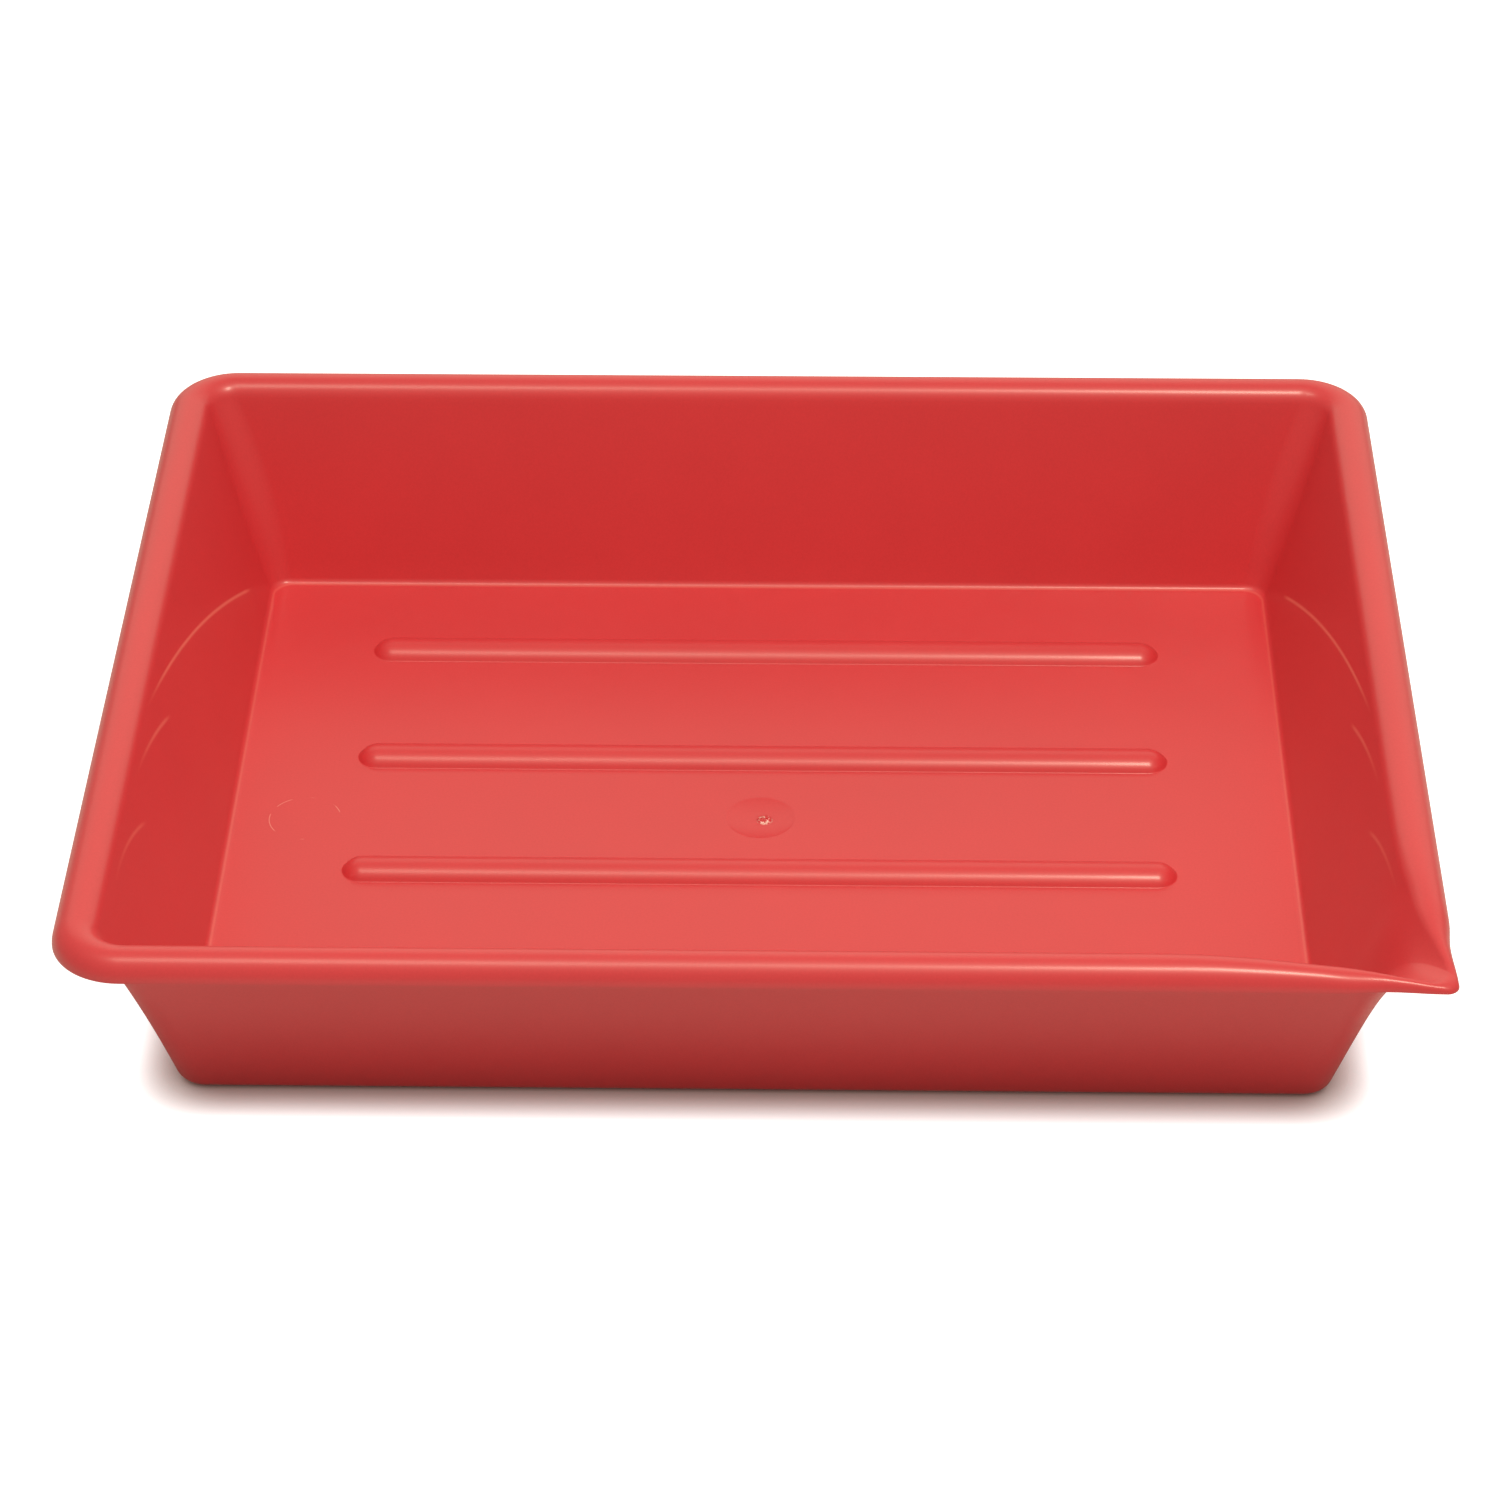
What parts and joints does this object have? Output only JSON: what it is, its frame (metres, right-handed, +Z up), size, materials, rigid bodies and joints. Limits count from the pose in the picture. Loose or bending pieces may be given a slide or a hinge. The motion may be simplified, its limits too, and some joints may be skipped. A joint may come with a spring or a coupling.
{
  "type": "shallow tray",
  "caption": "Rectangular moulded tray with sloping walls, a rolled rim, floor ribs and a pouring lip at one corner.",
  "frame": {"origin": "on the table, under the middle of the tray", "axes": "+X along the length, -Y towards the front wall, +Z up; the pouring lip is at the +X, -Y corner"},
  "size_m": [0.3714, 0.3094, 0.064],
  "materials": {
    "red_plastic": "satin moulded polypropylene"
  },
  "bodies": {
    "root": {"corner_rim_back_left": "red_plastic", "corner_rim_back_right": "red_plastic", "corner_rim_front_left": "red_plastic", "corner_wall_back_left": "red_plastic", "corner_wall_back_right": "red_plastic", "corner_wall_front_left": "red_plastic", "floor_panel": "red_plastic", "floor_rib_1": "red_plastic", "floor_rib_2": "red_plastic", "floor_rib_3": "red_plastic", "floor_rib_4": "red_plastic", "rim_back": "red_plastic", "rim_front": "red_plastic", "rim_left": "red_plastic", "rim_right": "red_plastic", "spout_channel": "red_plastic", "spout_rim_front": "red_plastic", "spout_rim_right": "red_plastic", "spout_tip": "red_plastic", "spout_wall_front": "red_plastic", "spout_wall_right": "red_plastic", "wall_back": "red_plastic", "wall_front": "red_plastic", "wall_left": "red_plastic", "wall_right": "red_plastic"}
  },
  "joints": []
}
